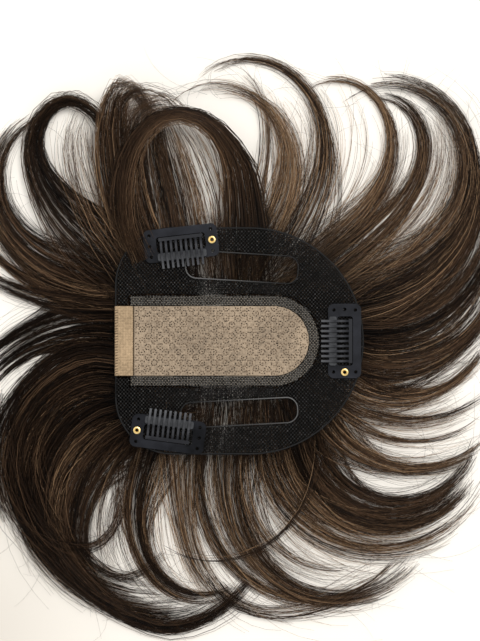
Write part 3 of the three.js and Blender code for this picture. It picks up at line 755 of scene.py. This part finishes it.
def smooth_line(points, steps):
    """A smooth run through a few points, at even steps along it, and its length."""
    points = np.array(points, float)
    ends = np.concatenate([2 * points[:1] - points[1:2], points, 2 * points[-1:] - points[-2:-1]])
    share = np.linspace(0, 1, 12, endpoint=False)[:, None]
    runs = []
    for a, b, c, d in zip(ends, ends[1:], ends[2:], ends[3:]):
        linear = (c - a) * share
        square = (2 * a - 5 * b + 4 * c - d) * share ** 2
        cube = (3 * b - a - 3 * c + d) * share ** 3
        runs.append(0.5 * (2 * b + linear + square + cube))
    run = np.concatenate(runs + [points[-1:]])
    gone = np.concatenate([[0], np.cumsum(np.linalg.norm(np.diff(run[:, :3], axis=0), axis=1))])
    at = np.linspace(0, gone[-1], steps)
    return np.stack([np.interp(at, gone, column) for column in run.T], 1), gone[-1]


def guided(count, radius, tone, stray, starts_at_net, points):
    """Tubes for the strands of a lock that follows points along its middle."""
    fine_steps = 80
    fine, length = smooth_line(points, fine_steps)
    fine_share = np.linspace(0, 1, fine_steps)
    steps = int(np.clip(round(length / 9), 8, 18))
    even = np.linspace(0, 1, steps)
    middle = (np.arange(GUIDE_WISPS) + 0.5) / GUIDE_WISPS * 2 - 1
    wisp_tone = rng.normal(0, 0.11, GUIDE_WISPS)
    free = rng.uniform(0, 1, count) < 0.25
    stray = np.where(free, 0.2 + 1.5 * stray, stray)
    across = rng.uniform(-1.1, 1.1, count) * np.where(free, 1.35, 1.0)
    wisp = np.abs(across[:, None] - middle[None]).argmin(1)
    first = 0 if starts_at_net else rng.uniform(0, 0.15, count)[:, None]
    last = 1.02 - rng.uniform(0, 0.35, count)[:, None] ** 1.5
    at = first + (last - first) * even[None]
    x, y, level, width = (np.interp(at, fine_share, column) for column in fine.T)
    fine_way = np.gradient(fine[:, :2], axis=0)
    way = np.interp(at, fine_share, np.unwrap(np.arctan2(fine_way[:, 1], fine_way[:, 0])))
    normal = np.stack([-np.sin(way), np.cos(way)], -1)
    gather = rng.uniform(0.2, 0.7, count) * (1 - np.minimum(stray, 0.8))
    place = across[:, None] + ((middle[wisp] - across) * gather)[:, None] * smoothstep(at * 2)
    drift = (rng.normal(0, 0.05, count) * stray)[:, None] * length * at ** 2
    phase = rng.uniform(1.0, 2.6, count)[:, None] * at + rng.uniform(0, 1, count)[:, None]
    aside = width / 2 * place + drift + (0.25 + 0.5 * stray)[:, None] * np.sin(2 * np.pi * phase)
    flat = np.stack([x, y], -1) + aside[..., None] * normal
    thick = np.minimum(3.0, 0.45 * width)
    lift = rng.uniform(-0.7, 0.6, count) * (1 - 0.4 * np.minimum(across ** 2, 1))
    height = np.maximum(level + thick * lift[:, None], radius + TABLE_GAP)
    path = np.concatenate([flat, height[..., None]], -1)
    taper = 1 - 0.65 * even ** 3
    if starts_at_net:
        path = rooted(flat, height, way[:, 0])
        taper = np.concatenate([[1, 1], taper])
    sizes = radius * rng.choice([0.75, 1.0, 1.5], count, p=[0.4, 0.4, 0.2])
    tones = tone + wisp_tone[wisp] + rng.normal(0, 0.19, count)
    tones = np.clip(tones, TONE_RANGE[0], np.where(sizes > radius, 0.62, TONE_RANGE[1]))
    return tubes(path, sizes[:, None] * taper[None], STRAND_SIDES, tones)


for name, first_lock, past_lock, haze, haze_reach in HAIR_PIECES:
    made = []
    for lock in LOCKS[first_lock:past_lock]:
        count = lock.width * STRANDS_PER_MM * lock.fullness
        wisps = wisps_of(lock)
        for kind in ("bundle", "strand", "fan"):
            made.append(strands(lock, wisps, count, kind))
        for kind in ("loose", "flyaway"):
            made.append(strands(lock, wisps, count * haze, kind, haze_reach))
        made.append(stray_hairs(lock, int(lock.width * FRIZZ_PER_MM)))
    for one, other in zip(LOCKS[first_lock:past_lock], LOCKS[first_lock + 1:]):
        if one.turn * other.turn < 0:
            continue
        for share in rng.uniform(0, 1, int(VEIL_CURVES * haze)):
            lock = between_locks(one, other, share)
            made.append(strands(lock, wisps_of(lock), VEIL_COUNT, "veil", haze_reach))
    for guide in GUIDES[name]:
        made.append(guided(*guide))
    points, faces, uv = join(made)
    piece = add_mesh(name, points, faces, HAIR, uv)
    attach(piece, "topper")
    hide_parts("hair")


# Net and strip

WEAVE_REACH = 130.0  # how far the threads are laid out before they are cut to shape
WEAVE_WAVER = 0.22  # how far they wander from straight lines
# Painted shade: the tone of a thread where it passes under another
UNDER_PAINTED_SHADE = 0.04  # of a thread where it passes under another


def weave(keep, pitch, slant, width, flat, middle, swing, tone, spread):
    """Tubes for woven threads where keep(points) is true: two slanting sets that pass over and under each
    other, by swing from a middle height. A thread has the tone, within a spread, as a painted glint on top."""
    angle = math.radians(slant)
    along = pitch / math.sin(2 * angle)
    first = along * np.array([math.cos(angle), math.sin(angle)])
    second = along * np.array([-math.cos(angle), math.sin(angle)])
    reach = int(WEAVE_REACH / pitch)
    numbers = np.arange(-reach, reach + 1)
    column, row = np.meshgrid(numbers, numbers, indexing="ij")
    grid = column[..., None] * first + row[..., None] * second
    waver = np.stack([np.sin(grid[..., 1] / 7.3 + 0.4), np.sin(grid[..., 0] / 6.1 + 1.1)], -1)
    grid = grid + WEAVE_WAVER * waver
    kept = keep(grid.reshape(-1, 2)).reshape(column.shape)
    glint = np.clip(rng.normal(tone, spread, column.shape), 0.05, 0.98)
    runs_by_length = {}
    for over in (1, -1):
        on_top = over * np.where((column + row) % 2 == 0, 1, -1)
        shine = np.where(on_top > 0, glint, UNDER_PAINTED_SHADE)
        crossings = np.dstack([grid, middle + swing * on_top, shine])
        threads, insides = (crossings.swapaxes(0, 1), kept.T) if over == 1 else (crossings, kept)
        for thread, inside in zip(threads, insides):
            bounds = np.flatnonzero(np.diff(np.concatenate([[0], inside.astype(int), [0]])))
            for begin, end in zip(bounds[::2], bounds[1::2]):
                if end - begin >= 2:
                    runs_by_length.setdefault(end - begin, []).append(thread[begin:end])
    parts = []
    for length in sorted(runs_by_length):
        paths = np.array(runs_by_length[length])
        radii = np.full(paths.shape[:2], width / 2)
        parts.append(tubes(paths[..., :3], radii, STRAND_SIDES, paths[..., 3], flat))
    return join(parts)


# The net is open at the slots, under the panel and its strip, and in front at the hem
net_outline = base_outline(0.35)
slot_lines = [slot_outline(slot, 0.25) for slot in SLOTS]
window = tongue(BORDER_START_X - GAP, PANEL_HALF + GAP + BORDER_WIDTH)
front_window = rectangle(FRONT_X - 1, -40, PANEL_HALF + GAP)


def in_net(points):
    kept = distance(points, net_outline) < 0
    for hole in [window, front_window, *slot_lines]:
        kept &= distance(points, hole) > 0
    return kept


# tone and spread set the painted glints where a net thread lies on top
points, faces, uv = weave(
    in_net, pitch=1.12, slant=48, width=0.54, flat=0.6, middle=10.5, swing=0.17, tone=0.66, spread=0.07,
)
net = add_mesh("net_weave", points, faces, NET, uv)
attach(net, "topper")
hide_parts("net_base")

border_outer = tongue(BORDER_START_X, PANEL_HALF + GAP + BORDER_WIDTH + 0.15)
border_inner = tongue(BORDER_START_X - 5, PANEL_HALF - 0.1)


def in_border(points):
    return (distance(points, border_outer) < 0) & (distance(points, border_inner) > 0)


# tone and spread set the painted glints where a strip thread lies on top
points, faces, uv = weave(
    in_border, pitch=1.0, slant=48, width=0.48, flat=0.6, middle=10.72, swing=0.12, tone=0.8, spread=0.16,
)
border = add_mesh("border_weave", points, faces, NET, uv)
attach(border, "topper")
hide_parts("panel_border")


# Bound edges: a thread round the base's rim and round each slot

# Painted highlights on the slots' bound edges, one a slot
SLOT_GLINTS = ((-16, 26, 24), (18, -25, 26))  # x, y and reach of the place where each slot's edge is lightest


def loop_tube(line, radius, height, tone, glint=None):
    """A closed ring along an outline, as one tube whose ends meet, with a painted highlight near a glint."""
    closed = np.concatenate([line, line[:1]])
    path = np.column_stack([closed, np.full(len(closed), height)])[None]
    tones = np.full(path.shape[:2], tone)
    if glint is not None:
        x, y, reach = glint
        away = np.linalg.norm(closed - np.array([x, y]), axis=1)
        tones = tones + 0.6 * (1 - smoothstep(away / reach))[None]
    return tubes(path, np.full(path.shape[:2], radius), 6, tones)


edges = [loop_tube(base_outline(0.42), radius=0.4, height=10.45, tone=0.03)]
for slot, glint in zip(SLOTS, SLOT_GLINTS):
    edges.append(loop_tube(slot_outline(slot, 0.2), radius=0.3, height=10.55, tone=0.12, glint=glint))
points, faces, uv = join(edges)
edge_piece = add_mesh("bound_edges", points, faces, EDGE, uv)
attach(edge_piece, "topper")


# Silk panel, its underlay below the strip, and the hem

SILK_TOP = 10.8
UNDERLAY_TOP = 10.5
HEM_TOP = 10.95
silk_line = tongue(FRONT_X + HEM_DEPTH + GAP, PANEL_HALF)
silk = cloth_slab("silk_cloth", silk_line, SILK_TOP, SILK)
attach(silk, "topper")
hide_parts("silk_panel")

strip_line = np.concatenate([
    tongue(BORDER_START_X + 0.3, PANEL_HALF + GAP + BORDER_WIDTH - 0.35),
    tongue(BORDER_START_X + 0.3, PANEL_HALF + GAP)[::-1],
])
# Its darker colours are painted shade under the strip's net
underlay = cloth_slab("border_underlay", strip_line, UNDERLAY_TOP, UNDERLAY_PAINTED_SHADE, edge=0.1)
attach(underlay, "topper")

hem_line = rectangle(FRONT_X, FRONT_X + HEM_DEPTH, PANEL_HALF)
hem = cloth_slab("hem_cloth", hem_line, HEM_TOP, HEM, edge=0.3)
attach(hem, "topper")
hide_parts("front_hem")


# Hair knots in the silk: rosettes in staggered rows, each a ring of small stitches round one more

ROSETTE_PITCH = 5.16  # along a row
ROSETTE_ROW = 2.37  # between rows, each shifted by half a pitch
RING_RADIUS = 1.22
RING_KNOTS = 8
KNOTS_KEPT = 0.93  # share of the knots that show


def stitches(places, headings, lengths, radius, height, tones):
    """Short rounded stitches lying on the cloth."""
    share = np.array([-0.5, -0.3, 0.0, 0.3, 0.5])
    bow = np.array([-0.12, 0.03, 0.06, 0.03, -0.12])
    swell = np.array([0.35, 0.9, 1.0, 0.9, 0.35])
    flat = places[:, None] + (lengths[:, None] * share[None])[..., None] * toward(headings)[:, None]
    path = np.concatenate([flat, np.broadcast_to(height + bow, flat.shape[:2])[..., None]], -1)
    radii = np.broadcast_to(radius * swell, flat.shape[:2])
    return tubes(path, radii, 5, tones, 0.7)


# Each rosette and each knot lies a little out of its place
rosettes = []
for row in range(-7, 8):
    for column in range(-11, 8):
        rosettes.append(((column + 0.5 * (row % 2)) * ROSETTE_PITCH, row * ROSETTE_ROW))
count = len(rosettes)
centres = np.array(rosettes) + rng.normal(0, 0.12, (count, 2))
ring_turn = np.tile(np.arange(RING_KNOTS) * 2 * math.pi / RING_KNOTS, (count, 1))
ring_turn = ring_turn + rng.uniform(0, 1, count)[:, None]
ring_spots = centres[:, None] + RING_RADIUS * toward(ring_turn)
spots = np.concatenate([ring_spots.reshape(-1, 2), centres])
spots = spots + rng.normal(0, 0.1, spots.shape)
headings = np.concatenate([ring_turn.ravel() + math.pi / 2, np.zeros(count)])
headings = headings + rng.normal(0, 0.25, len(spots))
kept = distance(spots, silk_line) < -0.5
kept &= rng.uniform(0, 1, len(spots)) < KNOTS_KEPT
spots = spots[kept]
knot_lengths = rng.uniform(0.5, 0.85, len(spots))
knot_tones = rng.uniform(*TONE_RANGE, len(spots))
points, faces, uv = stitches(spots, headings[kept], knot_lengths, 0.23, SILK_TOP + 0.02, knot_tones)
knots = add_mesh("silk_knots", points, faces, KNOT, uv)
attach(knots, "topper")


# Hem stitches: whip stitches over the front edge, and a line of them where the hem meets the silk

def hem_row(x, places_y, slant, stray, length, radius, height, tone):
    """A row of like stitches across the hem, slanting by about the same angle in radians."""
    count = len(places_y)
    places = np.stack([np.full(count, x), places_y], -1)
    headings = rng.normal(slant, stray, count)
    return stitches(places, headings, np.full(count, length), radius, height, np.full(count, tone))


whip_y = np.arange(-14.2, 14.4, 1.15)
whip_y = whip_y + rng.normal(0, 0.08, len(whip_y))
seam_y = np.arange(-14.4, 14.5, 0.8)
seam_x = FRONT_X + HEM_DEPTH - 0.15
points, faces, uv = join([
    hem_row(FRONT_X + 0.75, whip_y, slant=0.25, stray=0.12, length=1.5, radius=0.13, height=11.0, tone=0.25),
    hem_row(seam_x, seam_y, slant=1.4, stray=0.15, length=0.7, radius=0.12, height=10.97, tone=0.55),
])
hem_stitches = add_mesh("hem_stitches", points, faces, KNOT, uv)
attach(hem_stitches, "topper")


# Clips keep their CAD shapes, with softened edges

TEETH_WAYS = {"clip_left": ("Y", -1), "clip_right": ("Y", 1), "clip_back": ("X", -1)}  # axis and sign
SOFTENED = {"frame": 0.13, "comb": 0.11, "grip": 0.15, "eyelet": 0.08}
SOFT_ANGLE = math.radians(35)
for clip, (axis, sign) in TEETH_WAYS.items():
    low, high = (corner["XY".index(axis)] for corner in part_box(f"{clip}_comb"))
    root, tip = (low, high) if sign > 0 else (high, low)
    materials = {
        "frame": ENAMEL,
        "comb": teeth_material(f"{clip}_teeth", axis, root, tip),
        "grip": SILICONE,
        "eyelet": BRASS,
    }
    for part, width in SOFTENED.items():
        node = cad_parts[f"{clip}_{part}"]
        node.data.materials.clear()
        node.data.materials.append(materials[part])
        soften = node.modifiers.new("soft_edges", "BEVEL")
        soften.width = width / MM
        soften.segments = 2
        soften.limit_method = "ANGLE"
        soften.angle_limit = SOFT_ANGLE


# Stage: a pale floor with a patch of painted shade toward the wearer's front right, and soft light from above

FLOOR_HALF = 4  # metres, as are the places below
FLOOR_PALE = (0.80, 0.755, 0.685, 1)
# The patch of painted shade: its colour, its middle and its reach
FLOOR_SHADED = (0.56, 0.515, 0.45, 1)
FLOOR_SHADE_AT = (-0.14, -0.13, 0)
FLOOR_SHADE_REACH = 0.13
floor_material, tree, shader = new_material("floor_pale")
ends = {0: object_place(tree), 1: FLOOR_SHADE_AT}
away = add_node(tree, "VectorMath", ends, operation="DISTANCE").outputs["Value"]
pale_share = map_range(tree, away, (0.0, FLOOR_SHADE_REACH), interpolation_type="SMOOTHSTEP")
colours = {"Factor": pale_share, MIX_FIRST: FLOOR_SHADED, MIX_SECOND: FLOOR_PALE}
floor_colour = add_node(tree, "Mix", colours, data_type="RGBA").outputs[MIX_RESULT]
feed(tree, shader, {"Base Color": floor_colour, "Roughness": 0.7})
floor_mesh = bpy.data.meshes.new("floor")
floor_corners = [(x, y, 0) for x, y in rectangle(-FLOOR_HALF, FLOOR_HALF, FLOOR_HALF)]
floor_mesh.from_pydata(floor_corners, [], [(0, 1, 2, 3)])
floor_mesh.materials.append(floor_material)
floor = bpy.data.objects.new("floor", floor_mesh)
bpy.context.scene.collection.objects.link(floor)


def area_light(name, place, size, power):
    """A square lamp that faces the middle of the part."""
    data = bpy.data.lights.new(name, "AREA")
    data.energy = power
    data.size = size
    light = bpy.data.objects.new(name, data)
    light.location = place
    light.rotation_mode = "QUATERNION"
    light.rotation_quaternion = (-Vector(place)).to_track_quat("-Z", "Y")
    bpy.context.scene.collection.objects.link(light)


area_light("key", (0.4, 0.5, 1.3), size=0.7, power=14.0)
area_light("fill", (-0.7, 0.2, 1.2), size=1.2, power=2.5)
world = bpy.data.worlds.new("studio")
world.use_nodes = True
feed(world.node_tree, world.node_tree.nodes["Background"], {"Color": (1, 1, 1, 1), "Strength": 0.85})
bpy.context.scene.world = world
bpy.context.scene.view_settings.view_transform = "Standard"


# Camera, straight above the base as in the photograph

IMAGE_HEIGHT = 641
MM_PER_PIXEL = 0.43  # on the base's upper face
CAMERA_AT = np.array([0.86, 8.8, 700.0])
camera_data = bpy.data.cameras.new("camera")
camera_data.sensor_width = 36.0
camera_data.lens = camera_data.sensor_width * (CAMERA_AT[2] - CLOTH_TOP) / (IMAGE_HEIGHT * MM_PER_PIXEL)
camera = bpy.data.objects.new("camera", camera_data)
camera.location = Vector((CAMERA_AT + OFFSET) / MM)
bpy.context.scene.collection.objects.link(camera)
bpy.context.scene.camera = camera
